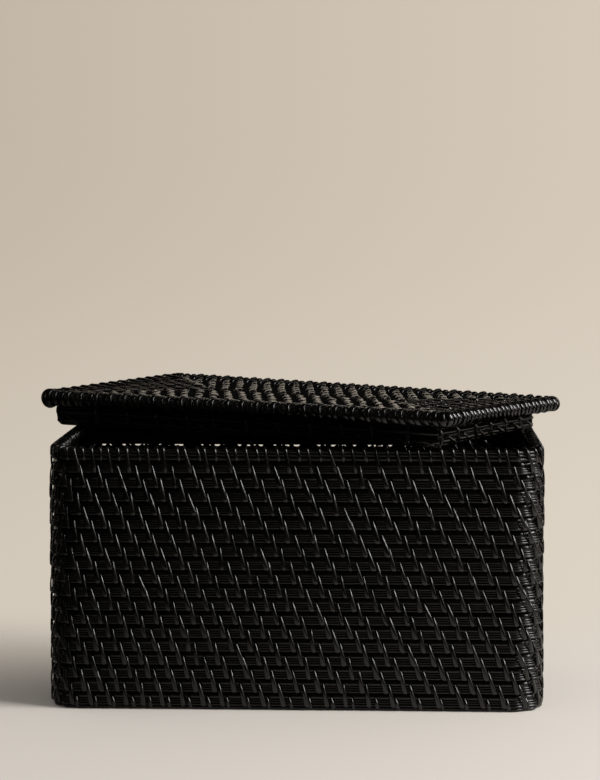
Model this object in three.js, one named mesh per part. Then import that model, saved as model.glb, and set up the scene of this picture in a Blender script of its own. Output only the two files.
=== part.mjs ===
// A woven rattan box with a loose lid that lies askew on its rim.
// Level rattan hoops are stacked for the walls and nested for the base and the lid's panel.
// Millimetres, +Z up. The origin is on the floor, under the middle of the box. The front faces -Y.
import * as THREE from "three";

// Box
const BOX_WIDTH = 350;
const BOX_DEPTH = 192;
const BOX_HEIGHT = 187;
const BOX_CORNER_RADIUS = 24;
const WALL_THICKNESS = 9.2;
const RIM_HEIGHT = 12.4;
const COURSE_PITCH = 9.7;
const BASE_THICKNESS = 8;

// Lid
const LID_OVERHANG = 0;
const LID_CORNER_RADIUS = 9;
const BORDER_THICKNESS = 11;
const PANEL_THICKNESS = 9;
const COLLAR_THICKNESS = 8.5;
const COLLAR_PLAY = 6.4;
const COLLAR_COURSE_PITCH = 8.3;
const COLLAR_COURSES = ["lower", "upper"];
const COLLAR_CORNER_RADIUS = 9;

// Where the lid lies: its middle from the middle of the box, and its turn seen from above
const LID_SHIFT_X = -1.9;
const LID_SHIFT_Y = 45.4;
const LID_TURN_DEGREES = -28;

// Rattan hoops
const COIL_PITCH = 9.4;
const HOOP_CLEARANCE = 0.3;
const HOOP_CHAMFER = 2.5;
const BORDER_CHAMFER = 3.2;
const CORNER_FLAT_RADIUS = 1.1;
const LARGEST_CHAMFER_SHARE = 0.4;
const CORNER_STEPS = 3;

const HOOP_LOOK = { color: 0x17140f, roughness: 0.38, metalness: 0 };
const PEEL_LOOK = { color: 0x1c1813, roughness: 0.3, metalness: 0 };

// Points of a rectangle with round corners, given by its half sizes
function roundedRectangle(halfX, halfY, radius, leastRadius) {
  const round = Math.max(radius, leastRadius);
  const points = [];
  for (let corner = 0; corner < 4; corner++) {
    const signX = corner === 0 || corner === 3 ? 1 : -1;
    const signY = corner < 2 ? 1 : -1;
    for (let step = 0; step <= CORNER_STEPS; step++) {
      const angle = (corner + step / CORNER_STEPS) * (Math.PI / 2);
      const x = signX * (halfX - round) + round * Math.cos(angle);
      const y = signY * (halfY - round) + round * Math.sin(angle);
      points.push(new THREE.Vector2(x, y));
    }
  }
  return points;
}

// Extrudes a flat outline upwards from z = 0 to the height, with chamfered edges
function extrudeChamfered(shape, height, chamfer) {
  const geometry = new THREE.ExtrudeGeometry(shape, {
    depth: height - 2 * chamfer,
    steps: 1,
    bevelEnabled: true,
    bevelThickness: chamfer,
    bevelSize: chamfer,
    bevelOffset: -chamfer,
    bevelSegments: 1,
  });
  return geometry.translate(0, 0, chamfer);
}

// A closed hoop: halfX and halfY reach its outer faces, and its section limits its chamfer
function hoopGeometry({ halfX, halfY, radius, thickness, height, chamfer }) {
  const edge = Math.min(chamfer, LARGEST_CHAMFER_SHARE * Math.min(thickness, height));
  const least = edge + CORNER_FLAT_RADIUS;
  const outside = roundedRectangle(halfX, halfY, radius, least);
  const inside = roundedRectangle(halfX - thickness, halfY - thickness, radius - thickness, least);
  const shape = new THREE.Shape(outside);
  shape.holes.push(new THREE.Path(inside));
  return extrudeChamfered(shape, height, edge);
}

// A solid strip with the same rounding as the hoops
function coreGeometry({ halfX, halfY, height, chamfer }) {
  const edge = Math.min(chamfer, LARGEST_CHAMFER_SHARE * Math.min(2 * halfY, height));
  const outside = roundedRectangle(halfX, halfY, 0, edge + CORNER_FLAT_RADIUS);
  return extrudeChamfered(new THREE.Shape(outside), height, edge);
}

function addMesh(group, name, geometry, look, z) {
  const mesh = new THREE.Mesh(geometry, new THREE.MeshStandardMaterial(look));
  mesh.name = name;
  mesh.position.z = z;
  group.add(mesh);
}

// Nested flat hoops round a core strip, filling a rectangle with round corners
function addCoil(group, { prefix, halfX, halfY, radius, thickness, bottom }) {
  const count = Math.max(1, Math.round(halfY / COIL_PITCH - 0.5));
  const pitch = halfY / (count + 0.5);
  for (let turn = 0; turn < count; turn++) {
    const inset = turn * pitch + HOOP_CLEARANCE;
    const geometry = hoopGeometry({
      halfX: halfX - inset,
      halfY: halfY - inset,
      radius: radius - inset,
      thickness: pitch - HOOP_CLEARANCE,
      height: thickness,
      chamfer: HOOP_CHAMFER,
    });
    addMesh(group, `${prefix}_hoop_${turn + 1}`, geometry, HOOP_LOOK, bottom);
  }
  const coreInset = count * pitch + HOOP_CLEARANCE;
  const core = coreGeometry({
    halfX: halfX - coreInset,
    halfY: halfY - coreInset,
    height: thickness,
    chamfer: HOOP_CHAMFER,
  });
  addMesh(group, `${prefix}_core`, core, HOOP_LOOK, bottom);
}

// Box: wall hoops counted from the rim down, with the base coil inside the lowest one
function makeBox() {
  const box = new THREE.Group();
  const outline = {
    halfX: BOX_WIDTH / 2,
    halfY: BOX_DEPTH / 2,
    radius: BOX_CORNER_RADIUS,
    thickness: WALL_THICKNESS,
    chamfer: HOOP_CHAMFER,
  };
  const rim = hoopGeometry({ ...outline, height: RIM_HEIGHT });
  addMesh(box, "rim_hoop", rim, PEEL_LOOK, BOX_HEIGHT - RIM_HEIGHT);

  const wallHeight = BOX_HEIGHT - RIM_HEIGHT;
  const courses = Math.max(1, Math.round(wallHeight / COURSE_PITCH));
  const pitch = wallHeight / courses;
  for (let course = 1; course <= courses; course++) {
    const hoop = hoopGeometry({ ...outline, height: pitch - HOOP_CLEARANCE });
    const label = String(course).padStart(2, "0");
    addMesh(box, `wall_hoop_${label}`, hoop, HOOP_LOOK, wallHeight - course * pitch);
  }

  addCoil(box, {
    prefix: "base",
    halfX: BOX_WIDTH / 2 - WALL_THICKNESS,
    halfY: BOX_DEPTH / 2 - WALL_THICKNESS,
    radius: BOX_CORNER_RADIUS - WALL_THICKNESS,
    thickness: BASE_THICKNESS,
    bottom: 0,
  });
  return box;
}

// Lid: z = 0 is the underside of its collar
function makeLid() {
  const lid = new THREE.Group();
  const collarInset = WALL_THICKNESS + COLLAR_PLAY;
  COLLAR_COURSES.forEach((course, level) => {
    const hoop = hoopGeometry({
      halfX: BOX_WIDTH / 2 - collarInset,
      halfY: BOX_DEPTH / 2 - collarInset,
      radius: COLLAR_CORNER_RADIUS,
      thickness: COLLAR_THICKNESS,
      height: COLLAR_COURSE_PITCH - HOOP_CLEARANCE,
      chamfer: HOOP_CHAMFER,
    });
    addMesh(lid, `lid_collar_${course}`, hoop, HOOP_LOOK, level * COLLAR_COURSE_PITCH);
  });

  const panelBottom = COLLAR_COURSES.length * COLLAR_COURSE_PITCH;
  const panelMiddle = panelBottom + PANEL_THICKNESS / 2;
  const halfX = BOX_WIDTH / 2 + LID_OVERHANG;
  const halfY = BOX_DEPTH / 2 + LID_OVERHANG;
  const border = hoopGeometry({
    halfX,
    halfY,
    radius: LID_CORNER_RADIUS,
    thickness: BORDER_THICKNESS,
    height: BORDER_THICKNESS,
    chamfer: BORDER_CHAMFER,
  });
  addMesh(lid, "lid_border_hoop", border, PEEL_LOOK, panelMiddle - BORDER_THICKNESS / 2);

  addCoil(lid, {
    prefix: "lid",
    halfX: halfX - BORDER_THICKNESS,
    halfY: halfY - BORDER_THICKNESS,
    radius: LID_CORNER_RADIUS - BORDER_THICKNESS,
    thickness: PANEL_THICKNESS,
    bottom: panelBottom,
  });

  lid.position.set(LID_SHIFT_X, LID_SHIFT_Y, BOX_HEIGHT + HOOP_CLEARANCE);
  lid.rotation.z = THREE.MathUtils.degToRad(LID_TURN_DEGREES);
  return lid;
}

const wovenBox = new THREE.Group();
wovenBox.add(makeBox(), makeLid());

export default wovenBox;
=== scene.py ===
"""A black lacquered rattan box with a loose lid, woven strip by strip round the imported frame.

Every course of the box is a few thin rattan rods. Strips of rattan peel bind each course to the
next one, row by row, and they wrap the rim and the lid's border. Rods and strips are swept meshes,
in metres.
"""

import math

import bpy
import numpy as np
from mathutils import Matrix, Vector


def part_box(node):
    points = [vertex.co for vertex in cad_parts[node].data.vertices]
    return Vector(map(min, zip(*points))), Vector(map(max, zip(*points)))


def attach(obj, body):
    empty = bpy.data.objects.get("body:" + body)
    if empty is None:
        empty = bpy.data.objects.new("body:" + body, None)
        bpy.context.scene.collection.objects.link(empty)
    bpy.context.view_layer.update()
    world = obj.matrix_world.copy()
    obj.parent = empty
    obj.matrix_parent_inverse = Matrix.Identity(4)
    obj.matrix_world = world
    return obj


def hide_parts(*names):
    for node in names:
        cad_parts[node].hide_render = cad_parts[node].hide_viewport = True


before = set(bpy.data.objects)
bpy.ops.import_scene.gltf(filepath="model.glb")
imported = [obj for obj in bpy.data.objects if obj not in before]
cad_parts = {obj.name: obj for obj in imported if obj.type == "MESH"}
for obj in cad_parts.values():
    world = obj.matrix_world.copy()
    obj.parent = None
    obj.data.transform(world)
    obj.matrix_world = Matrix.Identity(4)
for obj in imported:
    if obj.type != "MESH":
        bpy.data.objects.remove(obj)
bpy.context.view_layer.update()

MM = 0.001
TINY = 1e-12
SEED = 7
random = np.random.default_rng(SEED)

# Sizes read from the frame
RIM_LOW, RIM_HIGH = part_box("rim_hoop")
BOX_HALF_X, BOX_HALF_Y, RIM_TOP = RIM_HIGH.x, RIM_HIGH.y, RIM_HIGH.z
WALL_COURSES = sum(name.startswith("wall_hoop_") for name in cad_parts)
BASE_COILS = sum(name.startswith("base_hoop_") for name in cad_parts)
LID_COILS = sum(name.startswith("lid_hoop_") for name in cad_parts)
COURSE_PITCH = RIM_LOW.z / WALL_COURSES
BASE_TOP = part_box("base_core")[1].z
LID_CORE_LOW, LID_CORE_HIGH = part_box("lid_core")
PANEL_MIDDLE = (LID_CORE_LOW.z + LID_CORE_HIGH.z) / 2
PANEL_HALF = (LID_CORE_HIGH.z - LID_CORE_LOW.z) / 2
COLLAR_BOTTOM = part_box("lid_collar_lower")[0].z
COLLAR_TOP = LID_CORE_LOW.z

# Sizes of the solids that the frame's boxes can't give
BOX_CORNER_RADIUS = 24.0 * MM
WALL_THICKNESS = 9.2 * MM
LID_TURN = math.radians(-28.0)
LID_CORNER_RADIUS = 9.0 * MM
BORDER_THICKNESS = 11.0 * MM
COLLAR_INSET = 15.6 * MM

# How far the hand work wanders. A wave of the walls has a share, a number round the box, a rise for
# each radian and a shift.
SWAY = 0.3 * MM
SWAY_WAVES = ((1.0, 2, 45.0 * MM, 0.6), (0.6, 5, -28.0 * MM, 2.1))
SIDE_BELLY = 1.4 * MM
LID_TWIST = 1.1 * MM
LID_TILT_X, LID_TILT_Y = 1.0 * MM, 0.8 * MM

# Rods: middle below the top of the course, half height, half depth and how far behind the face, in
# millimetres. The first rod of a wall course is a tall one at the back that closes the gap above it.
# The wave along a rod shifts by ROD_WAVE_SHIFT radians for each millimetre of its height.
RIM_RODS = ((3.2, 1.5, 3.2, 1.7), (5.4, 1.5, 3.0, 1.3), (8.1, 1.7, 3.2, 0.8))
TOP_COURSE_RODS = (
    (0.4, 3.6, 2.4, 3.4),
    (2.3, 1.05, 2.6, 2.2),
    (3.65, 1.05, 2.7, 1.5),
    (5.15, 1.2, 3.1, 0.85),
)
COURSE_RODS = ((0.9, 3.5, 2.4, 3.4), (2.6, 1.1, 2.6, 2.2), (4.15, 1.1, 2.7, 1.5), (5.8, 1.3, 3.1, 0.8))
FOOT_RODS = (*COURSE_RODS, (8.1, 1.4, 3.0, 1.6))
COLLAR_UPPER_RODS = ((1.2, 2.2, 2.4, 3.6), (4.0, 1.8, 2.4, 3.6), (6.9, 1.9, 3.0, 0.3), (9.8, 2.0, 2.4, 3.6))
COLLAR_LOWER_RODS = ((12.6, 2.1, 3.0, 0.4), (15.0, 1.8, 2.6, 2.6))
ROD_STEP = 3.4 * MM
ROD_SIDES = 10
ROD_BULGE = 0.4 * MM
CORNER_PUFF = 1.2 * MM
ROD_WAVE = 0.15 * MM
ROD_WAVE_LENGTH = 61.0 * MM
ROD_WAVE_SHIFT = 40.0
LEAST_CORNER = 1.2 * MM

# Rods of the flat panels: their places are shares of a coil, and their waves shift from rod to rod
PANEL_ROD_PLACES = (0.25, 0.75)
PANEL_ROD_SINK = 2.0 * MM
PANEL_ROD_CORNER = 3.0 * MM
PANEL_ROD_SHARE = 0.228
PANEL_WAVE = 0.2 * MM
PANEL_WAVE_LENGTH = 37.0 * MM
PANEL_WAVE_SHIFTS = (3.1, 9.0)
LID_WAVER = 0.2 * MM

# Binding strips of the walls. A jitter or a shift is a share of the pitch, a lean or roll spread is in
# degrees, and a width spread is a share of the width. A strip is loose where it lies further out from
# the face than LOOSE_FROM, in millimetres.
STITCH_COUNT = 74
STITCH_WIDTH = 2.6 * MM
STITCH_THICKNESS = 1.2 * MM
STITCH_SLANT = math.radians(11.5)
SLANT_SWING = math.radians(2.5)
ROLL_SPREAD = 6.0
WIDTH_SPREAD = 0.1
STITCH_LOOSE = 0.12 * MM
LOOSE_FROM = -1.0
ROW_SHIFT = 0.395
ROW_JITTER, ROW_LEAN_SPREAD = 0.035, 2.4
RIM_JITTER, RIM_LEAN_SPREAD = 0.05, 4.5
SHORT_WRAP_SHIFT = 0.55
PULL_SHIFT = -0.1
FIRST_ROW_START = 6.4 * MM
STRETCH = 0.105
STRETCH_WAVES = 2
WIDEST_AT = 80.0 * MM
INSIDE_WIDTH = 3.0 * MM

# The part of the back wall where the gap under the top course stays a little open: the back rod of
# the course below is lifted to close the gap, and waves along it leave slits. Lifts and the lengths
# of waves are in millimetres. SLIT_START and SLIT_END are distances along the wall.
SLIT_COURSE = 2
SLIT_LIFT, SLIT_LEAST_LIFT = 1.2, -0.1
SLIT_DROP = 0.42
SLIT_START, SLIT_END = 424.0 * MM, 692.0 * MM
SLIT_FADE = 12.0 * MM
SLIT_STEP = 1.0 * MM
SLIT_WAVES = ((5.6, 0.4), (9.1, 2.0), (31.0, 1.0))

# Binding strips of the flat panels. Reaches are counted in coils, and a strip goes from the level of
# one coil to that of the next between the two shares of LEVEL_CHANGE.
PANEL_STITCH_PITCH = 12.9 * MM
PANEL_STITCH_START = 6.0 * MM
PANEL_STITCH_WIDTH = 3.8 * MM
PANEL_STITCH_THICKNESS = 1.2 * MM
PANEL_WIDTH_SPREAD = 0.08
PANEL_JITTER, PANEL_LEAN_SPREAD = 0.03, 2.5
PANEL_LOOSE = 0.7 * MM
PANEL_EDGE = 0.3 * PANEL_STITCH_WIDTH
PANEL_REACH, INNER_REACH = 2.0, 1.45
LEVEL_CHANGE = (0.35, 0.65)
PANEL_ROW_SHIFTS = (-0.44, -0.4, -0.415, -0.4)
PANEL_SLANT = math.radians(-22.0)
MITRE_GAP = 0.9 * MM
LEAST_ROOM = 0.4 * MM

# Border of the lid: a core rod under close wraps, with larger loops among them that hold the first
# coil, and a thin filler rod beside that coil. The wraps swell at the corners.
WRAP_WIDTH = 4.6 * MM
WRAP_THICKNESS = 1.6 * MM
WRAP_WIDTH_SPREAD = 0.07
WRAP_SLANT, WRAP_LEAN_SPREAD = math.radians(-12.0), 3.0
WRAP_SINK = 0.15 * MM
WRAP_BETWEEN = 0.58
WRAP_STATIONS = 18
HOLD_WIDTH = 0.9 * WRAP_WIDTH
CORE_CLEARANCE = 0.4 * WRAP_THICKNESS
FILLER_INSET = 10.35 * MM
FILLER_RADIUS = 1.45 * MM
FILLER_DROP = 1.6 * MM
CORNER_SWELL = 0.1
LEFT_SWELL = 0.22
UNDER_SWELL = 2.0
CORNER_REACH = 15.0 * MM
CORNER_CLEARANCE = 20.0 * MM

# Collar of the lid. Its inside strips are the outside ones mirrored, with their face at COLLAR_BACK
# millimetres. The flare pulls its front left corner out, and its rods come close to the strips there.
COLLAR_CORNER_RADIUS = 4.0 * MM
COLLAR_PITCH = 26.4 * MM
COLLAR_START = 1.5 * MM
COLLAR_JITTER, COLLAR_LEAN_SPREAD = 0.05, 4.0
COLLAR_SLANTS = (math.radians(5), math.radians(55))
COLLAR_LOWER_SHIFT = -0.06
COLLAR_STITCH_WIDTH = 3.0 * MM
COLLAR_BACK = -7.6
FLARE = 12.5 * MM
FLARE_REACH = 22.0 * MM
FLARE_AT_BOTTOM = 0.75
CLOSENESS = 0.85
CLOSE_REACH = 14.0 * MM

# Centre lines of strips: across from the top of the course and out from the face in millimetres,
# then width and thickness as shares, and roll towards the right in degrees. The foot's line starts as
# the outside one does and then turns in under the wall.
OUTSIDE_LINE = (
    (-0.4, -3.9, 0.75, 0.7, 36),
    (-0.1, -3.0, 0.8, 0.75, 36),
    (0.5, -2.4, 0.84, 0.8, 35),
    (1.6, -1.8, 0.88, 0.85, 33),
    (3.0, -1.2, 0.92, 0.95, 28),
    (4.8, -0.72, 0.97, 1.0, 21),
    (6.8, -0.38, 1.05, 1.0, 14),
    (8.8, -0.18, 1.14, 1.0, 8),
    (10.8, -0.1, 1.23, 1.0, 3),
    (12.6, -0.06, 1.3, 0.95, -1),
    (14.4, -0.04, 1.34, 0.9, -4),
    (15.8, -0.1, 1.34, 0.8, -6),
    (16.4, -0.8, 1.28, 0.7, -6),
    (16.8, -2.1, 1.2, 0.7, -5),
    (17.0, -3.6, 1.1, 0.8, -4),
)
FOOT_LINE = OUTSIDE_LINE[:6] + (
    (6.4, -0.8, 1.0, 1.0, 5),
    (7.8, -1.5, 1.0, 0.95, 0),
    (8.6, -3.0, 1.0, 0.9, 0),
    (8.8, -5.2, 0.95, 0.9, 0),
    (8.7, -7.6, 0.9, 0.9, 0),
)
INSIDE_LINE = (
    (17.0, -4.8, 0.7, 0.8, 0),
    (16.6, -6.6, 0.85, 0.9, 0),
    (15.4, -7.6, 1.0, 1.0, 0),
    (13.5, -7.95, 1.05, 1.0, 0),
    (8.5, -7.7, 1.05, 1.0, 0),
    (4.0, -7.95, 1.05, 1.0, 0),
    (1.2, -7.6, 0.95, 1.0, 0),
    (0.2, -6.6, 0.8, 0.9, 0),
    (-0.4, -4.8, 0.7, 0.8, 0),
)
RIM_OVER = (
    (2.6, -0.5, 0.92, 1.15, 16),
    (1.3, -1.1, 0.9, 1.15, 16),
    (0.75, -2.3, 0.9, 1.1, 10),
    (0.6, -4.2, 0.9, 1.0, 0),
    (0.75, -6.0, 0.9, 1.0, 0),
    (1.4, -7.4, 0.95, 1.0, 0),
    (3.0, -8.1, 1.0, 1.0, 0),
    (6.0, -8.2, 1.0, 1.0, 0),
    (9.3, -7.9, 1.0, 1.0, 0),
    (10.4, -6.6, 0.9, 0.9, 0),
    (10.6, -5.0, 0.8, 0.9, 0),
)
LONG_RIM_LINE = (
    (18.9, -3.4, 0.85, 0.8, 0),
    (18.5, -1.9, 1.0, 0.8, 0),
    (17.6, -1.1, 1.1, 0.8, 0),
    (16.0, -0.6, 1.12, 0.85, 0),
    (13.5, -0.25, 1.08, 0.9, 3),
    (10.5, -0.15, 1.02, 0.95, 6),
    (7.5, -0.25, 0.98, 1.05, 10),
    (4.8, -0.35, 0.94, 1.1, 14),
) + RIM_OVER
SHORT_RIM_LINE = (
    (10.2, -3.4, 0.7, 0.8, 0),
    (9.8, -1.8, 0.85, 0.9, 0),
    (8.9, -0.8, 0.95, 1.0, 0),
    (7.0, -0.4, 0.95, 1.05, 5),
    (4.8, -0.4, 0.92, 1.1, 12),
) + RIM_OVER
COLLAR_LONG_LINE = (
    (-0.2, -4.6, 0.8, 1.0, 0),
    (0.3, -3.2, 0.85, 1.0, 0),
    (1.4, -1.9, 0.9, 1.0, 0),
    (3.2, -1.2, 0.95, 1.0, 0),
    (5.2, -0.5, 1.0, 1.0, 0),
    (7.0, -0.05, 1.0, 0.95, 0),
    (8.6, -0.3, 1.0, 0.9, 0),
    (10.4, -0.25, 1.0, 0.9, 0),
    (12.6, -0.1, 1.05, 0.9, 0),
    (14.4, -0.6, 1.0, 0.9, 0),
    (15.8, -1.9, 0.9, 0.9, 0),
    (16.2, -4.0, 0.8, 0.9, 0),
)
COLLAR_SHORT_LINE = (
    (9.0, -3.4, 0.8, 1.0, 20),
    (9.3, -1.8, 0.9, 1.1, 20),
    (10.0, -0.7, 1.0, 1.1, 18),
    (11.2, -0.1, 1.0, 1.1, 14),
    (13.0, 0.0, 1.0, 1.0, 8),
    (14.2, -0.4, 1.0, 1.0, 0),
    (15.0, -1.6, 0.95, 0.9, 0),
    (15.4, -3.6, 0.9, 0.9, 0),
)

# Centre line of a panel strip: across as a share of its reach, depth under the face in millimetres,
# and width as a share
PANEL_LINE = (
    (-0.01, 4.2, 0.7),
    (0.0, 2.4, 0.8),
    (0.03, 1.25, 0.9),
    (0.07, 0.85, 0.98),
    (0.13, 0.74, 1.0),
    (0.24, 0.7, 1.0),
    (0.36, 0.73, 1.0),
    (0.46, 0.85, 1.0),
    (0.54, 1.2, 1.0),
    (0.64, 1.3, 1.0),
    (0.78, 1.35, 1.0),
    (0.9, 1.7, 0.96),
    (0.97, 2.6, 0.85),
    (1.0, 3.9, 0.7),
)

# Half of a loop that holds the border to the first coil: distance in from the edge and height, in
# millimetres
BORDER_STITCH_HALF = (
    (0.35, 0.0),
    (1.3, 3.5),
    (4.5, 5.15),
    (8.6, 4.9),
    (11.5, 4.2),
    (15.0, 4.2),
    (18.2, 3.4),
    (19.8, 1.8),
)

# Section of a strip of peel, with a crown and a nearly flat back, as shares of width and thickness
CROWN_ANGLES = np.radians([52, 43, 18, -18, -43, -52])
CROWN_EDGE = CROWN_ANGLES[0]
CROWN_HEIGHT = 0.6
CROWN_ACROSS = 0.5 * np.sin(CROWN_ANGLES) / math.sin(CROWN_EDGE)
CROWN_RISE = CROWN_HEIGHT * (np.cos(CROWN_ANGLES) - math.cos(CROWN_EDGE)) / (1 - math.cos(CROWN_EDGE))
STRIP_BACK = ((-0.36, -0.4), (0.36, -0.4))
STRIP_SECTION = np.concatenate([np.stack([CROWN_ACROSS, CROWN_RISE], axis=1), STRIP_BACK])
ROD_ANGLES = np.arange(ROD_SIDES) * 2 * math.pi / ROD_SIDES


class Loop:
    """A level rectangle with round corners, walked anticlockwise from the middle of its front."""

    ARC_STEPS = 16
    CORNER_STATIONS = 5

    def __init__(self, half_x, half_y, radius):
        radius = min(radius, half_x, half_y)
        self.half_x, self.half_y, self.radius = half_x, half_y, radius
        arc = np.linspace(0, math.pi / 2, self.ARC_STEPS)
        start = np.array([[0.0, -half_y]])
        headings, points = [np.zeros(1)], [start]
        for k, (sign_x, sign_y) in enumerate(((1, -1), (1, 1), (-1, 1), (-1, -1))):
            heading = k * math.pi / 2 + arc
            middle = np.array([sign_x * (half_x - radius), sign_y * (half_y - radius)])
            points.append(middle + radius * np.stack([np.sin(heading), -np.cos(heading)], axis=1))
            headings.append(heading)
        points = np.concatenate([*points, start])
        self.heading = np.concatenate([*headings, [2 * math.pi]])
        self.x, self.y = points[:, 0], points[:, 1]
        self.s = np.concatenate([[0], np.cumsum(np.hypot(np.diff(self.x), np.diff(self.y)))])
        self.length = self.s[-1]
        corners = [(1 + k * self.ARC_STEPS, (k + 1) * self.ARC_STEPS) for k in range(4)]
        self.breaks = [0, *(index for ends in corners for index in ends), len(self.s) - 1]

    def walk(self, s):
        """Points, directions of travel and outward directions at distances s along the path."""
        s = np.mod(s, self.length)
        x, y = np.interp(s, self.s, self.x), np.interp(s, self.s, self.y)
        heading = np.interp(s, self.s, self.heading)
        zero = np.zeros_like(x)
        along = np.stack([np.cos(heading), np.sin(heading), zero], axis=-1)
        out = np.stack([np.sin(heading), -np.cos(heading), zero], axis=-1)
        return np.stack([x, y, zero], axis=-1), along, out

    def stations(self, step):
        """Distances along the path, about a step apart, with a few at least round each corner."""
        places = []
        for k in range(len(self.breaks) - 1):
            start, end = self.s[self.breaks[k]], self.s[self.breaks[k + 1]]
            least = self.CORNER_STATIONS if k % 2 else 1
            count = max(least, round((end - start) / step))
            places.append(np.linspace(start, end, count, endpoint=False))
        return np.concatenate(places)

    def sides(self):
        """Half length and middle of each straight side: front, right, back and left."""
        corner = self.radius * math.pi / 2
        across, deep = self.half_x - self.radius, self.half_y - self.radius
        right = across + corner + deep
        back = self.length / 2
        return ((across, 0.0), (deep, right), (across, back), (deep, self.length - right))


class Bundle:
    """Swept rods and strips that become one mesh."""

    def __init__(self):
        self.points, self.quads, self.caps, self.maps, self.tints = [], [], [], [], []
        self.size = 0

    def sweep(self, rings, closed):
        """Adds tubes given as rings of points, shaped (tubes, rings, points, 3)."""
        tubes, count, sides, _ = rings.shape
        index = self.size + np.arange(tubes * count * sides).reshape(tubes, count, sides)
        here = index if closed else index[:, :-1]
        ahead = np.roll(index, -1, axis=1) if closed else index[:, 1:]
        quads = [here, np.roll(here, -1, axis=2), np.roll(ahead, -1, axis=2), ahead]
        self.quads.append(np.stack(quads, axis=-1).reshape(-1, 4))
        if not closed:
            self.caps.extend(np.concatenate([index[:, 0, ::-1], index[:, -1]]))
        tint = random.random(tubes)
        self.maps.append(self.length_and_girth(rings, here.shape[1], tint))
        self.tints.append(np.repeat(tint, count * sides))
        self.points.append(rings.reshape(-1, 3))
        self.size += tubes * count * sides

    @staticmethod
    def length_and_girth(rings, spans, tint):
        """UV corners of every quad: metres along the tube, offset by its tint, and turns round it."""
        sides = rings.shape[2]
        middle = rings.mean(axis=2)
        step = np.linalg.norm(np.roll(middle, -1, axis=1) - middle, axis=-1)
        far = np.cumsum(step, axis=1)[:, :spans, None] + tint[:, None, None]
        near = far - step[:, :spans, None]
        turn = np.arange(sides) / sides + 0 * far
        near, far = near + 0 * turn, far + 0 * turn
        corners = ((near, turn), (near, turn + 1 / sides), (far, turn + 1 / sides), (far, turn))
        return np.stack([np.stack(corner, axis=-1) for corner in corners], axis=-2).reshape(-1, 2)

    def mesh(self, name, move=None):
        """A new object with smooth faces, a UV map of length and girth, and a tint for each strip."""
        points = np.concatenate(self.points)
        if move:
            points = move(points)
        quads = np.concatenate(self.quads)
        loops = np.concatenate([quads.ravel(), *self.caps])
        totals = np.array([4] * len(quads) + [len(cap) for cap in self.caps], dtype=np.int32)
        starts = np.concatenate([[0], np.cumsum(totals)[:-1]]).astype(np.int32)
        mesh = bpy.data.meshes.new(name)
        mesh.vertices.add(len(points))
        mesh.vertices.foreach_set("co", points.astype(np.float32).ravel())
        mesh.loops.add(len(loops))
        mesh.loops.foreach_set("vertex_index", loops.astype(np.int32))
        mesh.polygons.add(len(totals))
        mesh.polygons.foreach_set("loop_start", starts)
        mesh.polygons.foreach_set("loop_total", totals)
        mesh.polygons.foreach_set("use_smooth", np.ones(len(totals), dtype=bool))
        maps = np.zeros((len(loops), 2), dtype=np.float32)
        maps[: 4 * len(quads)] = np.concatenate(self.maps)
        mesh.uv_layers.new(name="strip").data.foreach_set("uv", maps.ravel())
        tint = mesh.attributes.new("tint", "FLOAT", "POINT")
        tint.data.foreach_set("value", np.concatenate(self.tints).astype(np.float32))
        mesh.update()
        mesh.validate()
        made = bpy.data.objects.new(name, mesh)
        bpy.context.scene.collection.objects.link(made)
        return made


def unit(vectors):
    """The same directions, one long."""
    return vectors / np.maximum(np.linalg.norm(vectors, axis=-1, keepdims=True), TINY)


def strip_rings(centre, along, out, width, thickness, roll=0.0, closed=False):
    """Rings of a strip's section round its centre line, crown outwards. centre is (strips, stations, 3).

    roll turns the crown towards the along direction, in degrees.
    """
    if closed:
        travel = unit(np.roll(centre, -1, axis=1) - np.roll(centre, 1, axis=1))
    else:
        travel = unit(np.gradient(centre, axis=1))
    side = unit(along - np.sum(along * travel, axis=-1, keepdims=True) * travel)
    crown = np.cross(travel, side)
    middle = 0 if closed else centre.shape[1] // 2
    outwards = np.sum(crown[:, middle] * out[:, middle]) > 0
    section = STRIP_SECTION if outwards else STRIP_SECTION[::-1]
    crown = crown if outwards else -crown
    turn = np.radians(roll) + np.zeros(centre.shape[:2])
    cosine, sine = np.cos(turn)[..., None], np.sin(turn)[..., None]
    side, crown = side * cosine - crown * sine, crown * cosine + side * sine
    across = section[:, 0] * width[..., None]
    rise = section[:, 1] * thickness[..., None]
    return centre[:, :, None] + side[:, :, None] * across[..., None] + crown[:, :, None] * rise[..., None]


def rod_rings(centre, out, half_depth, half_height):
    """Rings of one closed level rod. centre and out are (stations, 3)."""
    up = np.array([0, 0, 1.0])
    depth = half_depth * np.sin(ROD_ANGLES)
    height = half_height * np.cos(ROD_ANGLES)
    return (centre[:, None] + up * height[:, None] + out[:, None] * depth[:, None])[None]


def jittered(start, count, pitch, amount):
    """Evenly spaced starts, each a little out of place."""
    return start + pitch * (np.arange(count) + amount * random.standard_normal(count))


def leans(count, angle, spread):
    """Sideways run over rise for strips that slant by an angle, give or take a spread in degrees."""
    return np.tan(angle + math.radians(spread) * random.standard_normal(count))


def sway(loop, s, z):
    """How far a hand-woven wall wanders in and out."""
    turn = 2 * math.pi * s / loop.length
    waves = sum(
        share * np.sin(count * turn + z / rise + shift) for share, count, rise, shift in SWAY_WAVES
    )
    belly = np.sin(turn) ** 2 * np.clip(1 - (z / RIM_TOP) ** 3, 0, 1)
    return SWAY * waves + SIDE_BELLY * belly


def wall_place(loop, s, z, out):
    """Points on a wall: s along it, z up, out from its outer face. Also the directions along and out."""
    point, along, outward = loop.walk(s)
    point = point + outward * (out + sway(loop, s, z))[..., None]
    point[..., 2] = z
    return point, along, outward


def cornering(loop, s):
    """0 along the sides of a loop and 1 in the middle of its corners."""
    _, _, out = loop.walk(s)
    return np.sqrt(2 * np.abs(out[..., 0] * out[..., 1]))


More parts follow.
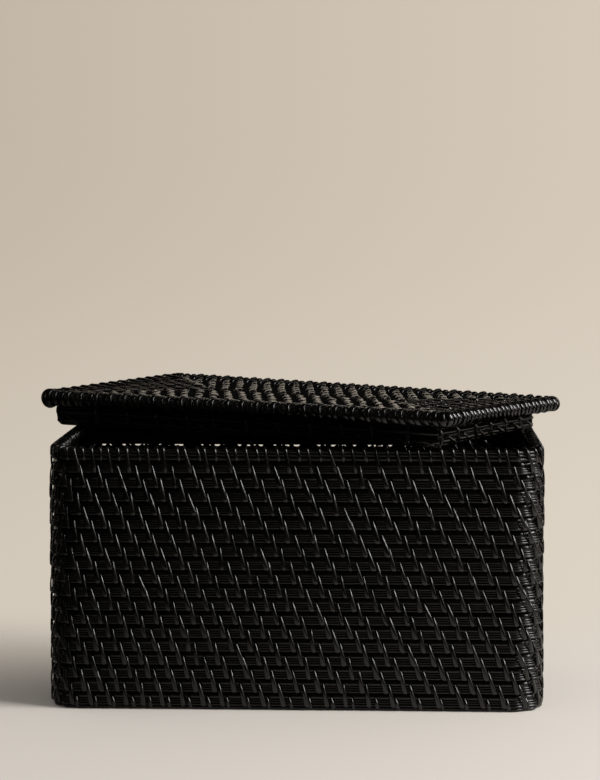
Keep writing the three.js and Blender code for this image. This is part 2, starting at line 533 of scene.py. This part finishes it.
def wall_rods(bundle, loop, top, rods, start, pitch, spread=None, slits=None, ease=None):
    """The rods of one course. start is where a strip crosses and pulls them in, once in every pitch.

    spread moves even places along the wall. slits gives how far the first rod is lifted, and ease
    how much of each rod's sink is left.
    """
    for k, (middle, half_height, half_depth, sink) in enumerate(rods):
        lifted = slits and k == 0
        even = loop.stations(SLIT_STEP if lifted else ROD_STEP)
        s = spread(even) if spread else even
        z = np.full_like(s, top - middle * MM)
        between = 0.5 - 0.5 * np.cos(2 * math.pi * (even - start) / pitch)
        bulge = ROD_BULGE * (2 * between - 1) + CORNER_PUFF * cornering(loop, s) * between
        wave = ROD_WAVE * np.sin(2 * math.pi * s / ROD_WAVE_LENGTH + ROD_WAVE_SHIFT * z / MM)
        if lifted:
            z += slits(s)
        behind = sink * ease(s) if ease else sink
        centre, _, out = wall_place(loop, s, z, bulge + wave - (behind + half_depth) * MM)
        bundle.sweep(rod_rings(centre, out, half_depth * MM, half_height * MM), closed=True)


def slit_cover(s):
    """How far the back rod is lifted: all the way, apart from ragged slits in the back wall."""
    waves = sum(np.sin(2 * math.pi * s / (length * MM) + shift) for length, shift in SLIT_WAVES)
    inside = np.clip(np.minimum(s - SLIT_START, SLIT_END - s) / SLIT_FADE, 0, 1)
    return np.clip(SLIT_LIFT - inside * (SLIT_DROP + waves), SLIT_LEAST_LIFT, SLIT_LIFT) * MM


def wall_strips(bundle, loop, top, starts, line, lean, width):
    """Strips on a wall along a centre line. lean is sideways run over fall."""
    across, out, width_share, thickness_share, roll = np.array(line).T
    fall = across * MM + 0 * starts[:, None]
    loose = STITCH_LOOSE * random.standard_normal((len(starts), 1)) * (out > LOOSE_FROM)
    s = starts[:, None] + lean[:, None] * fall
    point, along, outward = wall_place(loop, s, top - fall, out * MM + loose)
    widths = width * width_share * (1 + WIDTH_SPREAD * random.standard_normal((len(starts), 1)))
    thick = STITCH_THICKNESS * thickness_share + 0 * widths
    rolls = roll + ROLL_SPREAD * random.standard_normal((len(starts), 1))
    bundle.sweep(strip_rings(point, along, outward, widths, thick, rolls), closed=False)


# Walls of the box

box_loop = Loop(BOX_HALF_X, BOX_HALF_Y, BOX_CORNER_RADIUS)
stitch_pitch = box_loop.length / STITCH_COUNT


def course_top(course):
    """Height of the top of a course: 0 is the rim and 1 the first wall hoop under it."""
    return RIM_TOP if course == 0 else RIM_LOW.z - (course - 1) * COURSE_PITCH


def row_start(row):
    """Where the first strip of a row starts along the wall. Each row is shifted from the one above."""
    return FIRST_ROW_START + (row - 1) * ROW_SHIFT * stitch_pitch


def stretched(places):
    """Moves even places along the wall, so that stitches stand closer in some parts than in others."""
    turn = 2 * math.pi * STRETCH_WAVES / box_loop.length
    return places + STRETCH / turn * np.sin(turn * (places - WIDEST_AT))


def wall_slants(starts, spread):
    """Sideways run over fall for the strips of a row, which lean most on the right side of the box."""
    mean = STITCH_SLANT + SLANT_SWING * np.sin(2 * math.pi * starts / box_loop.length)
    return np.tan(mean + math.radians(spread) * random.standard_normal(len(starts)))


def wrap_rim(bundle):
    """Long strips over the rim that reach down over the course below, and a short one between two."""
    for line, shift in ((LONG_RIM_LINE, 0.0), (SHORT_RIM_LINE, SHORT_WRAP_SHIFT)):
        first = row_start(0) + shift * stitch_pitch
        starts = stretched(jittered(first, STITCH_COUNT, stitch_pitch, RIM_JITTER))
        lean = wall_slants(starts, RIM_LEAN_SPREAD)
        wall_strips(bundle, box_loop, RIM_TOP, starts, line, lean, STITCH_WIDTH)


def bind_row(bundle, row):
    """The strips that bind one course to the next, outside and inside the wall."""
    top = course_top(row)
    even = jittered(row_start(row), STITCH_COUNT, stitch_pitch, ROW_JITTER)
    starts = stretched(even)
    lean = wall_slants(starts, ROW_LEAN_SPREAD)
    if row == WALL_COURSES:
        wall_strips(bundle, box_loop, top, starts, FOOT_LINE, lean, STITCH_WIDTH)
        return
    wall_strips(bundle, box_loop, top, starts, OUTSIDE_LINE, lean, STITCH_WIDTH)
    drop = OUTSIDE_LINE[-1][0] * MM
    following = stretched(even + stitch_pitch)
    back = lean - (following - starts) / drop
    wall_strips(bundle, box_loop, top, following, INSIDE_LINE, back, INSIDE_WIDTH)


def make_walls():
    """Rods and binding of the rim and of every course below it."""
    for course in range(WALL_COURSES + 1):
        node = "rim_hoop" if course == 0 else f"wall_hoop_{course:02d}"
        label = "rim" if course == 0 else f"wall_{course:02d}"
        shapes = {0: RIM_RODS, 1: TOP_COURSE_RODS, WALL_COURSES: FOOT_RODS}.get(course, COURSE_RODS)
        rods, strips = Bundle(), Bundle()
        start = row_start(course) + PULL_SHIFT * stitch_pitch
        slits = slit_cover if course == SLIT_COURSE else None
        wall_rods(rods, box_loop, course_top(course), shapes, start, stitch_pitch, stretched, slits)
        finish(rods.mesh(f"{label}_rods"), "box", rod_look, "rattan_rod", node)
        if course == 0:
            wrap_rim(strips)
        else:
            bind_row(strips, course)
        finish(strips.mesh(f"{label}_binding"), "box", peel_look, "rattan_peel")


# Flat panels: nested coils of two rods, bound side by side


class Panel:
    """A flat coil. half_x and half_y reach its outer edge, and middle is the height of its middle.

    waver is how far its coils lie above and below that middle by turns.
    """

    def __init__(self, half_x, half_y, coils, middle, half_thickness, waver):
        self.half_x, self.half_y, self.coils = half_x, half_y, coils
        self.pitch = half_y / (coils + 0.5)
        self.middle, self.half_thickness, self.waver = middle, half_thickness, waver

    def level(self, coil):
        """How far a coil lies above the panel's middle."""
        return self.waver * (-1) ** coil

    def rods(self, coil):
        """The rods of one coil. The innermost one is a single rod bent back on itself."""
        rods = Bundle()
        for inset in PANEL_ROD_PLACES if coil < self.coils else PANEL_ROD_PLACES[:1]:
            away = (coil + inset) * self.pitch
            radius = PANEL_ROD_CORNER + (0.5 - inset) * self.pitch
            loop = Loop(self.half_x - away, self.half_y - away, max(radius, LEAST_CORNER))
            s = loop.stations(ROD_STEP)
            centre, _, out = loop.walk(s)
            shift = PANEL_WAVE_SHIFTS[0] * coil + PANEL_WAVE_SHIFTS[1] * inset
            wave = PANEL_WAVE * np.sin(2 * math.pi * s / PANEL_WAVE_LENGTH + shift)
            centre[:, 2] = self.middle + wave + self.level(coil)
            half_height = self.half_thickness - PANEL_ROD_SINK
            rods.sweep(rod_rings(centre, out, PANEL_ROD_SHARE * self.pitch, half_height), closed=True)
        return rods

    def sides(self):
        """The four sides: direction along, direction inwards, half length and distance from the middle."""
        x, y = np.array([1.0, 0, 0]), np.array([0, 1.0, 0])
        return (
            (x, y, self.half_x, self.half_y),
            (y, -x, self.half_y, self.half_x),
            (-x, -y, self.half_x, self.half_y),
            (-y, x, self.half_y, self.half_x),
        )

    def bind(self, bundle, coil, face):
        """Strips over one coil and the next on the top (face 1) or the underside (face -1)."""
        share, dip, width_share = np.array(PANEL_LINE).T
        reach = PANEL_REACH if coil + 1 < self.coils else INNER_REACH
        across = reach * self.pitch * share
        for (along, inwards, half_length, far), shift in zip(self.sides(), PANEL_ROW_SHIFTS):
            edge = half_length - coil * self.pitch
            starts = lattice((coil + 1) * shift, edge - PANEL_EDGE)
            lean = leans(len(starts), PANEL_SLANT * face, PANEL_LEAN_SPREAD)
            room = np.maximum(edge - across - MITRE_GAP, LEAST_ROOM)
            place = np.clip(starts[:, None] + lean[:, None] * across, -room, room)
            inset = far - coil * self.pitch - across
            centre = place[..., None] * along - inset[None, :, None] * inwards
            loose = PANEL_LOOSE * random.random((len(starts), 1))
            level = np.interp(share, LEVEL_CHANGE, (self.level(coil), self.level(coil + 1)))
            centre[..., 2] = self.middle + level + face * (self.half_thickness - dip * MM - loose)
            out = np.zeros_like(centre)
            out[..., 2] = face
            uneven = 1 + PANEL_WIDTH_SPREAD * random.standard_normal((len(starts), 1))
            widths = PANEL_STITCH_WIDTH * width_share * uneven
            thick = np.full_like(widths, PANEL_STITCH_THICKNESS)
            bundle.sweep(strip_rings(centre, along + 0 * centre, out, widths, thick), closed=False)


def lattice(shift, reach):
    """Places along a panel's side, a pitch apart, shifted by a share of it, out to a reach both ways."""
    first = (PANEL_STITCH_START + shift * PANEL_STITCH_PITCH + reach) % PANEL_STITCH_PITCH - reach
    count = max(1, math.ceil((reach - first) / PANEL_STITCH_PITCH))
    places = jittered(first, count, PANEL_STITCH_PITCH, PANEL_JITTER)
    kept = places[np.abs(places) < reach]
    return kept if len(kept) else np.zeros(1)


def make_panel(panel, body, prefix, move=None):
    """Rods of every coil, and the binding between two coils on both faces."""
    for coil in range(panel.coils + 1):
        node = f"{prefix}_core" if coil == panel.coils else f"{prefix}_hoop_{coil + 1}"
        finish(panel.rods(coil).mesh(f"{node}_rods", move), body, rod_look, "rattan_rod", node)
        if coil < panel.coils:
            strips = Bundle()
            panel.bind(strips, coil, 1)
            panel.bind(strips, coil, -1)
            finish(strips.mesh(f"{node}_binding", move), body, peel_look, "rattan_peel")


def make_base():
    """The flat coil that fills the bottom of the box between its walls."""
    half_x, half_y = BOX_HALF_X - WALL_THICKNESS, BOX_HALF_Y - WALL_THICKNESS
    panel = Panel(half_x, half_y, BASE_COILS, BASE_TOP / 2, BASE_TOP / 2, waver=0.0)
    make_panel(panel, "box", "base")


# Lid, made square to its own axes and then moved to where it lies

LID_MIDDLE = np.array([(LID_CORE_LOW[k] + LID_CORE_HIGH[k]) / 2 for k in range(2)])
LID_AXES = np.array([[math.cos(LID_TURN), math.sin(LID_TURN)], [-math.sin(LID_TURN), math.cos(LID_TURN)]])
border_loop = Loop(BOX_HALF_X, BOX_HALF_Y, LID_CORNER_RADIUS)


def lay_lid(points):
    """Bends the lid a little out of true, then turns and moves it to where it lies."""
    moved = points.copy()
    across, deep = points[:, 0] / BOX_HALF_X, points[:, 1] / BOX_HALF_Y
    bent = LID_TWIST * across * deep + LID_TILT_X * across + LID_TILT_Y * deep
    moved[:, 2] -= bent * collar_share(points)
    moved[:, :2] = moved[:, :2] @ LID_AXES + LID_MIDDLE
    return moved


def collar_share(points):
    """0 at the collar's bottom edge and 1 at its top and above."""
    return np.clip((points[:, 2] - COLLAR_BOTTOM) / (COLLAR_TOP - COLLAR_BOTTOM), 0, 1)


def lay_collar(points):
    """Pulls the collar's front left corner out, as it is in the photo, and lays it with the lid."""
    pulled = points.copy()
    away = np.hypot(points[:, 0] + BOX_HALF_X - COLLAR_INSET, points[:, 1] + BOX_HALF_Y - COLLAR_INSET)
    pull = FLARE_AT_BOTTOM + (1 - FLARE_AT_BOTTOM) * collar_share(points)
    pulled[:, 0] -= FLARE * np.exp(-((away / FLARE_REACH) ** 2)) * pull
    return lay_lid(pulled)


def corner_swell(s):
    """How much thicker the border is near a corner, where the wraps crowd together."""
    point, _, _ = border_loop.walk(s)
    away = np.hypot(np.abs(point[..., 0]) - BOX_HALF_X, np.abs(point[..., 1]) - BOX_HALF_Y)
    swell = CORNER_SWELL + LEFT_SWELL * (point[..., 0] < 0) * (point[..., 1] < 0)
    return 1 + swell * np.exp(-((away / CORNER_REACH) ** 2))


def border_strips(bundle, starts, section, width):
    """Closed strips round the border: section gives distance in from the edge and height, in millimetres."""
    inset, rise = np.array(section).T * MM
    lean = leans(len(starts), WRAP_SLANT, WRAP_LEAN_SPREAD)
    swell = corner_swell(starts)[:, None]
    s = starts[:, None] + lean[:, None] * rise
    point, along, outward = border_loop.walk(s)
    middle = BORDER_THICKNESS / 2
    point = point - outward * (middle + (inset - middle) * swell)[..., None]
    below = 1 + UNDER_SWELL * (swell - 1)
    point[..., 2] = PANEL_MIDDLE + rise * np.where(rise < 0, below, swell)
    widths = width * (1 + WRAP_WIDTH_SPREAD * random.standard_normal((len(starts), 1))) + 0 * s
    thick = np.full_like(widths, WRAP_THICKNESS)
    bundle.sweep(strip_rings(point, along, outward, widths, thick, closed=True), closed=True)


def wrap_places():
    """Places along the border of the strips that hold the first coil, and of the wraps between them."""
    holds, wraps, ends = [], [], []
    for half, middle in border_loop.sides():
        places = lattice(0.0, half + border_loop.radius - CORNER_CLEARANCE)
        holds.append(middle + places)
        wraps.append(middle + places[:-1] + WRAP_BETWEEN * np.diff(places))
        ends.append((middle + places[0], middle + places[-1]))
    half_pitch = PANEL_STITCH_PITCH / 2
    for k, (_, last) in enumerate(ends):
        following = ends[(k + 1) % 4][0] + (border_loop.length if k == 3 else 0)
        count = round((following - last) / half_pitch)
        wraps.append(np.linspace(last, following, count + 1)[1:-1])
    return np.concatenate(holds), np.concatenate(wraps)


def make_border():
    """The lid's border: its rods, the wraps round them and the loops that hold the first coil."""
    middle = BORDER_THICKNESS / 2
    radius = middle - WRAP_THICKNESS / 2 - WRAP_SINK
    rods, strips = Bundle(), Bundle()
    core = (middle, radius - CORE_CLEARANCE, 0.0)
    for inset, half, drop in (core, (FILLER_INSET, FILLER_RADIUS, FILLER_DROP)):
        corner = max(LID_CORNER_RADIUS - inset, LEAST_CORNER)
        loop = Loop(BOX_HALF_X - inset, BOX_HALF_Y - inset, corner)
        centre, _, out = loop.walk(loop.stations(ROD_STEP))
        centre[:, 2] = PANEL_MIDDLE - drop
        rods.sweep(rod_rings(centre, out, half, half), closed=True)
    finish(rods.mesh("lid_border_rod", lay_lid), "lid", rod_look, "rattan_rod", "lid_border_hoop")
    angles = np.arange(WRAP_STATIONS) * 2 * math.pi / WRAP_STATIONS
    ring = np.stack([middle - radius * np.cos(angles), radius * np.sin(angles)], axis=1) / MM
    top = np.array(BORDER_STITCH_HALF)
    hold = np.concatenate([top, top[:0:-1] * [1, -1]])
    holds, wraps = wrap_places()
    border_strips(strips, wraps, ring, WRAP_WIDTH)
    border_strips(strips, holds, hold, HOLD_WIDTH)
    finish(strips.mesh("lid_border_wrapping", lay_lid), "lid", peel_look, "rattan_peel")


def make_collar():
    """The collar's two hoops, with strips on the outside and the inside."""
    loop = Loop(BOX_HALF_X - COLLAR_INSET, BOX_HALF_Y - COLLAR_INSET, COLLAR_CORNER_RADIUS)
    count = round(loop.length / COLLAR_PITCH)
    pitch = loop.length / count
    pulled_corner = loop.length - (loop.s[1] + loop.s[loop.ARC_STEPS]) / 2

    def closer(s):
        """The rods come up to the strips at the pulled corner."""
        return 1 - CLOSENESS * np.exp(-(((s - pulled_corner) / CLOSE_REACH) ** 2))

    for name, shapes, line, slant, shift in (
        ("upper", COLLAR_UPPER_RODS, COLLAR_LONG_LINE, COLLAR_SLANTS[0], 0.0),
        ("lower", COLLAR_LOWER_RODS, COLLAR_SHORT_LINE, COLLAR_SLANTS[1], COLLAR_LOWER_SHIFT),
    ):
        node = f"lid_collar_{name}"
        rods, strips = Bundle(), Bundle()
        start = COLLAR_START + shift * pitch
        wall_rods(rods, loop, COLLAR_TOP, shapes, start, pitch, ease=closer)
        finish(rods.mesh(f"{node}_rods", lay_collar), "lid", rod_look, "rattan_rod", node)
        starts = jittered(start, count, pitch, COLLAR_JITTER)
        lean = leans(count, slant, COLLAR_LEAN_SPREAD)
        wall_strips(strips, loop, COLLAR_TOP, starts, line, lean, COLLAR_STITCH_WIDTH)
        inner = [(across, COLLAR_BACK - out, *shares, 0) for across, out, *shares, _ in reversed(line)]
        wall_strips(strips, loop, COLLAR_TOP, starts + pitch / 2, inner, -lean, COLLAR_STITCH_WIDTH)
        finish(strips.mesh(f"{node}_binding", lay_collar), "lid", peel_look, "rattan_peel")


def make_lid():
    """The lid's panel, border and collar."""
    half_x, half_y = BOX_HALF_X - BORDER_THICKNESS, BOX_HALF_Y - BORDER_THICKNESS
    panel = Panel(half_x, half_y, LID_COILS, PANEL_MIDDLE, PANEL_HALF, LID_WAVER)
    make_panel(panel, "lid", "lid", lay_lid)
    make_border()
    make_collar()


# Materials

STREAK_SCALE = (90.0, 9.0, 1.0)
STREAK_DETAIL = 3.0
STREAK_BUMP = 0.5
PATCH_SCALE = 60.0
LIGHT_TONE_AT = 0.7


class Tree:
    """Short ways to add nodes to a material or to the world."""

    def __init__(self, owner):
        owner.use_nodes = True
        self.nodes, self.links = owner.node_tree.nodes, owner.node_tree.links

    def add(self, kind, inputs=None, **settings):
        """A new node. An input is given a value, or is linked if that is another node's output."""
        node = self.nodes.new(kind)
        for name, value in settings.items():
            setattr(node, name, value)
        for socket, value in (inputs or {}).items():
            if isinstance(value, bpy.types.NodeSocket):
                self.links.new(value, node.inputs[socket])
            else:
                node.inputs[socket].default_value = value
        return node

    def math(self, operation, first, second):
        return self.add("ShaderNodeMath", {0: first, 1: second}, operation=operation).outputs[0]

    def step(self, value, low, high, shape="SMOOTHSTEP"):
        """0 at low and 1 at high, held beyond them. low may be the greater one."""
        inputs = {"Value": value, "From Min": low, "From Max": high}
        return self.add("ShaderNodeMapRange", inputs, interpolation_type=shape).outputs["Result"]

    def band(self, value, rise, fall):
        """1 between two steps and 0 beyond them. rise and fall are each a low and a high."""
        return self.math("MULTIPLY", self.step(value, *rise), self.step(value, *fall))

    def blend(self, share, first, second):
        return self.add("ShaderNodeMix", {0: share, 6: first, 7: second}, data_type="RGBA").outputs[2]


def rattan(name, dark, light, roughness, shine, streak_depth):
    """Black lacquer over rattan: streaks along the strip, a tint for each strip, and uneven gloss."""
    material = bpy.data.materials.new(name)
    tree = Tree(material)
    shader = tree.nodes["Principled BSDF"]
    strip = tree.add("ShaderNodeUVMap", uv_map="strip").outputs["UV"]
    drawn_out = tree.add("ShaderNodeMapping", {"Vector": strip, "Scale": STREAK_SCALE}).outputs["Vector"]
    streak_inputs = {"Vector": drawn_out, "Scale": 1.0, "Detail": STREAK_DETAIL}
    streaks = tree.add("ShaderNodeTexNoise", streak_inputs).outputs["Fac"]
    place = tree.add("ShaderNodeTexCoord").outputs["Object"]
    patches = tree.add("ShaderNodeTexNoise", {"Vector": place, "Scale": PATCH_SCALE}).outputs["Fac"]
    tint = tree.add("ShaderNodeAttribute", attribute_name="tint").outputs["Fac"]
    tone = tree.add("ShaderNodeValToRGB", {"Fac": tree.math("MULTIPLY", tint, streaks)})
    tone.color_ramp.elements[0].color = (*dark, 1)
    tone.color_ramp.elements[1].color = (*light, 1)
    tone.color_ramp.elements[1].position = LIGHT_TONE_AT
    tree.links.new(tone.outputs["Color"], shader.inputs["Base Color"])
    worn = tree.math("MULTIPLY", tree.math("ADD", patches, tint), 0.5)
    gloss_inputs = {"Value": worn, "To Min": roughness[0], "To Max": roughness[1]}
    gloss = tree.add("ShaderNodeMapRange", gloss_inputs)
    tree.links.new(gloss.outputs["Result"], shader.inputs["Roughness"])
    shader.inputs["Specular IOR Level"].default_value = shine
    bump_inputs = {"Height": streaks, "Strength": STREAK_BUMP, "Distance": streak_depth}
    bump = tree.add("ShaderNodeBump", bump_inputs)
    tree.links.new(bump.outputs["Normal"], shader.inputs["Normal"])
    return material


rod_look = rattan(
    "black_rattan_rod",
    dark=(0.001, 0.0009, 0.0008),
    light=(0.0045, 0.0038, 0.0032),
    roughness=(0.17, 0.38),
    shine=0.44,
    streak_depth=0.09 * MM,
)
peel_look = rattan(
    "black_rattan_peel",
    dark=(0.0012, 0.0011, 0.001),
    light=(0.005, 0.0044, 0.0038),
    roughness=(0.12, 0.24),
    shine=0.5,
    streak_depth=0.08 * MM,
)


def finish(piece, body, look, slot, *nodes):
    """Gives a piece its look and its body, and hides the solids that it stands in for. The slot is not used.
    """
    piece.data.materials.append(look)
    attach(piece, body)
    if nodes:
        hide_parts(*nodes)


# Stage: a pale floor that runs into a pale backdrop, with painted light on the backdrop: brighter on the
# right, where the key light stands, and towards the floor

# Backdrop colours with painted light: brighter on the right, towards the key light, and lower down
BACKDROP_LEFT = (0.546, 0.474, 0.386, 1)
BACKDROP_RIGHT = (0.658, 0.578, 0.479, 1)
BACKDROP_LOW_LEFT = (0.645, 0.58, 0.49, 1)
BACKDROP_LOW_RIGHT = (0.716, 0.651, 0.558, 1)
STUDIO_DARK = (0.01, 0.01, 0.01, 1)
STUDIO_WALL = (0.95, 0.93, 0.9, 1)
STUDIO_FILL = (0.33, 0.32, 0.31, 1)

# Steps along the axes of a direction: how the backdrop changes to the right and downwards, and where
# reflections show the low part of the backdrop behind and a pale wall on the right
BACKDROP_ACROSS = (-0.165, 0.085)
BACKDROP_DOWN = (0.02, -0.18)
BEHIND_DEPTH = (0.0, 0.45)
BEHIND_HEIGHT = ((-0.1, 0.0), (0.3, 0.1))
BESIDE_ACROSS = (0.5, 0.85)
BESIDE_HEIGHT = ((0.0, 0.25), (0.75, 0.45))

# The floor and where it fades: from the middle and towards the back, as seen and as reflected
FLOOR = (0.72, 0.675, 0.62, 1)
FLOOR_ROUGHNESS = 0.9
FLOOR_SHINE = 0.1
FLOOR_HALF = 8.0
SEEN_FADE = (0.38, 0.8)
SEEN_DEPTH = (-0.08, 0.34)
REFLECTED_FADE = (0.25, 0.92)
REFLECTED_MIDDLE = (0.38, 0.0, 0.0)
REFLECTED_DEPTH = (0.1, 0.4)


def make_floor():
    """A pale floor with a shadow near the box, clear further off so that the backdrop shows."""
    mesh = bpy.data.meshes.new("floor")
    half = FLOOR_HALF
    corners = [(-half, -half, 0), (half, -half, 0), (half, half, 0), (-half, half, 0)]
    mesh.from_pydata(corners, [], [(0, 1, 2, 3)])
    floor = bpy.data.objects.new("floor", mesh)
    bpy.context.scene.collection.objects.link(floor)
    material = bpy.data.materials.new("pale_floor")
    tree = Tree(material)
    shader = tree.nodes["Principled BSDF"]
    shader.inputs["Base Color"].default_value = FLOOR
    shader.inputs["Roughness"].default_value = FLOOR_ROUGHNESS
    shader.inputs["Specular IOR Level"].default_value = FLOOR_SHINE
    place = tree.add("ShaderNodeTexCoord").outputs["Object"]
    distance = tree.add("ShaderNodeVectorMath", {0: place}, operation="LENGTH").outputs["Value"]
    path = tree.add("ShaderNodeLightPath").outputs
    depth = tree.add("ShaderNodeSeparateXYZ", {0: place}).outputs["Y"]
    far = tree.math("MAXIMUM", tree.step(distance, *SEEN_FADE), tree.step(depth, *SEEN_DEPTH))
    seen = tree.math("MULTIPLY", far, path["Is Camera Ray"])
    from_middle = {0: place, 1: REFLECTED_MIDDLE}
    aside = tree.add("ShaderNodeVectorMath", from_middle, operation="DISTANCE").outputs["Value"]
    dim = tree.math("MAXIMUM", tree.step(aside, *REFLECTED_FADE), tree.step(depth, *REFLECTED_DEPTH))
    reflected = tree.math("MULTIPLY", dim, path["Is Glossy Ray"])
    fade = tree.math("MAXIMUM", seen, reflected)
    clear = tree.add("ShaderNodeBsdfTransparent").outputs["BSDF"]
    mix = tree.add("ShaderNodeMixShader", {0: fade, 1: shader.outputs["BSDF"], 2: clear})
    tree.links.new(mix.outputs["Shader"], tree.nodes["Material Output"].inputs["Surface"])
    mesh.materials.append(material)


def make_world():
    """A backdrop for the camera with painted light on it, a dark studio with pale walls in reflections, and
    a dim fill.
    """
    world = bpy.data.worlds.new("studio")
    bpy.context.scene.world = world
    tree = Tree(world)
    direction = tree.add("ShaderNodeTexCoord").outputs["Generated"]
    axes = tree.add("ShaderNodeSeparateXYZ", {0: direction}).outputs
    # Painted light on the backdrop: brighter to the right, towards the key light, and lower down
    rightwards = tree.step(axes["X"], *BACKDROP_ACROSS, "LINEAR")
    high = tree.blend(rightwards, BACKDROP_LEFT, BACKDROP_RIGHT)
    low = tree.blend(rightwards, BACKDROP_LOW_LEFT, BACKDROP_LOW_RIGHT)
    backdrop = tree.blend(tree.step(axes["Z"], *BACKDROP_DOWN), high, low)
    level = tree.band(axes["Z"], *BEHIND_HEIGHT)
    behind = tree.math("MULTIPLY", tree.step(axes["Y"], *BEHIND_DEPTH), level)
    raised = tree.band(axes["Z"], *BESIDE_HEIGHT)
    beside = tree.math("MULTIPLY", tree.step(axes["X"], *BESIDE_ACROSS), raised)
    reflected = tree.blend(beside, tree.blend(behind, STUDIO_DARK, backdrop), STUDIO_WALL)
    path = tree.add("ShaderNodeLightPath").outputs
    lit = tree.blend(path["Is Glossy Ray"], STUDIO_FILL, reflected)
    shown = tree.blend(path["Is Camera Ray"], lit, backdrop)
    tree.links.new(shown, tree.nodes["Background"].inputs["Color"])


# Key light: a soft one high on the right and a little in front

KEY_PLACE = (2.37, -0.66, 1.82)
KEY_AIM = (0.0, 0.0, 0.1)
KEY_SIZE = (1.37, 1.8)
KEY_POWER = 108.0
KEY_COLOUR = (1.0, 0.99, 0.98)


def make_light():
    light = bpy.data.lights.new("key_right", "AREA")
    light.shape = "RECTANGLE"
    light.size, light.size_y = KEY_SIZE
    light.energy = KEY_POWER
    light.color = KEY_COLOUR
    lamp = bpy.data.objects.new("key_right", light)
    lamp.location = KEY_PLACE
    lamp.rotation_mode = "QUATERNION"
    lamp.rotation_quaternion = (Vector(KEY_AIM) - Vector(KEY_PLACE)).to_track_quat("-Z", "Y")
    lamp.visible_camera = False
    bpy.context.scene.collection.objects.link(lamp)


# Camera: fitted to the photo's outlines of the box, its rim and the lid's corners

IMAGE_HEIGHT = 780
FOCAL_PIXELS = 2357.0
CAMERA_PLACE = (0.0656, -1.7353, 0.3721)
CAMERA_PITCH = math.radians(5.03)
CAMERA_YAW = math.radians(2.17)
SENSOR = 36.0


def make_camera():
    camera = bpy.data.cameras.new("camera")
    camera.sensor_width = SENSOR
    camera.lens = FOCAL_PIXELS * SENSOR / IMAGE_HEIGHT
    holder = bpy.data.objects.new("camera", camera)
    holder.location = CAMERA_PLACE
    holder.rotation_euler = (math.pi / 2 - CAMERA_PITCH, 0, CAMERA_YAW)
    bpy.context.scene.collection.objects.link(holder)
    bpy.context.scene.camera = holder


make_camera()
make_walls()
make_base()
make_lid()
make_floor()
make_world()
make_light()
bpy.context.scene.view_settings.view_transform = "Standard"
